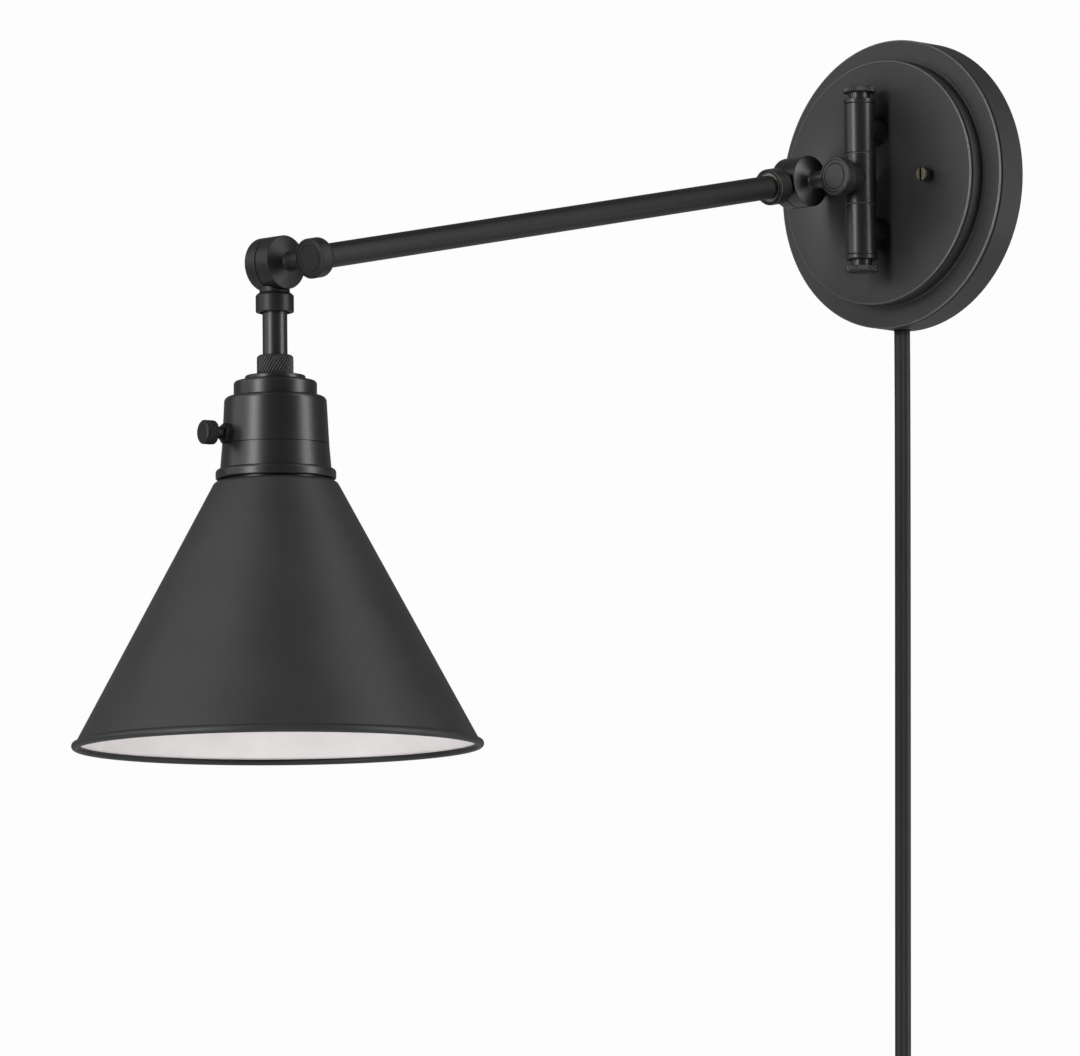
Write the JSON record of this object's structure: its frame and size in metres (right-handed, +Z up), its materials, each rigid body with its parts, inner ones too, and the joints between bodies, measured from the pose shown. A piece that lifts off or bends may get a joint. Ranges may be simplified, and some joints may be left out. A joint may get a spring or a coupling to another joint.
{
  "type": "swing arm wall sconce",
  "caption": "Wall lamp on a round stepped canopy: a hinged knuckle, a straight tilting arm and a tilting cone shade with a turn switch, fed by a flat cord.",
  "frame": {"origin": "middle of the canopy's back on the wall, which is also the middle of the strap's two box screw slots", "axes": "+Y points into the wall, the lamp stands out towards -Y, +Z is up"},
  "size_m": [0.2057, 0.452, 0.7205],
  "materials": {
    "black_coat": "satin black powder coat",
    "black_gloss": "black, a little glossier, on the turned joints",
    "screw_metal": "dull bronze",
    "bare_metal": "bare turned metal",
    "zinc": "zinc plate",
    "socket_brass": "bright brass",
    "washer_plastic": "black nylon",
    "insulator": "white glazed",
    "cord_rubber": "matt black",
    "plug_plastic": "moulded black",
    "blade_metal": "nickel-plated brass"
  },
  "bodies": {
    "canopy_and_column": {"canopy": "black_coat", "strap": "zinc", "cap_screws": "screw_metal", "ground_screw": "zinc", "column_tube_upper": "black_gloss", "column_tube_lower": "black_gloss", "column_nuts": "zinc", "column_washers": "washer_plastic", "column_rod": "zinc", "finial_washer_upper": "black_gloss", "finial_washer_lower": "black_gloss", "finial_upper": "black_gloss", "finial_lower": "black_gloss", "cord_bushing": "cord_rubber", "cord": "cord_rubber", "cord_coil": "cord_rubber", "cord_tie": "cord_rubber", "cord_tail": "cord_rubber", "plug_body": "plug_plastic", "plug_blades": "blade_metal"},
    "knuckle_body": {"knuckle": "black_gloss", "knuckle_bushes": "washer_plastic", "swivel_a_inner": "black_gloss", "swivel_a_cap": "black_gloss"},
    "arm": {"swivel_a_outer": "black_gloss", "swivel_a_washer": "washer_plastic", "swivel_a_screw": "black_gloss", "swivel_a_ring": "bare_metal", "arm_tube": "black_coat", "swivel_b_inner": "black_gloss", "swivel_b_cap": "black_gloss"},
    "head": {"swivel_b_outer": "black_gloss", "swivel_b_washer": "washer_plastic", "swivel_b_screw": "black_gloss", "swivel_b_ring": "bare_metal", "stem": "black_coat", "knurled_nut": "black_gloss", "stem_flange": "black_gloss", "lock_nut": "zinc", "housing_upper": "black_gloss", "housing_lower": "black_gloss", "lip_ring": "black_gloss", "shade": "black_coat", "shade_lock_ring": "black_coat", "holder_body": "insulator", "holder_shell": "socket_brass", "holder_contact": "socket_brass", "switch_bush": "black_gloss"},
    "switch": {"switch_knob": "black_gloss"}
  },
  "joints": [
    {"name": "swing", "type": "hinge", "parent": "canopy_and_column", "child": "knuckle_body", "pos_m": [0, -0.0365, 0], "axis": [0, 0, 1], "range_deg": [-14, 80]},
    {"name": "arm_tilt", "type": "hinge", "parent": "knuckle_body", "child": "arm", "pos_m": [-0.02515, -0.0506, 0], "axis": [1, 0, 0], "range_deg": [-60, 30]},
    {"name": "shade_tilt", "type": "hinge", "parent": "arm", "child": "head", "pos_m": [-0.0503, -0.36308, -0.06414], "axis": [1, 0, 0], "range_deg": [-90, 60]},
    {"name": "switch_turn", "type": "hinge", "parent": "head", "child": "switch", "pos_m": [-0.0503, -0.36308, -0.13934], "axis": [-0.2756, -0.9613, 0], "continuous": true}
  ]
}
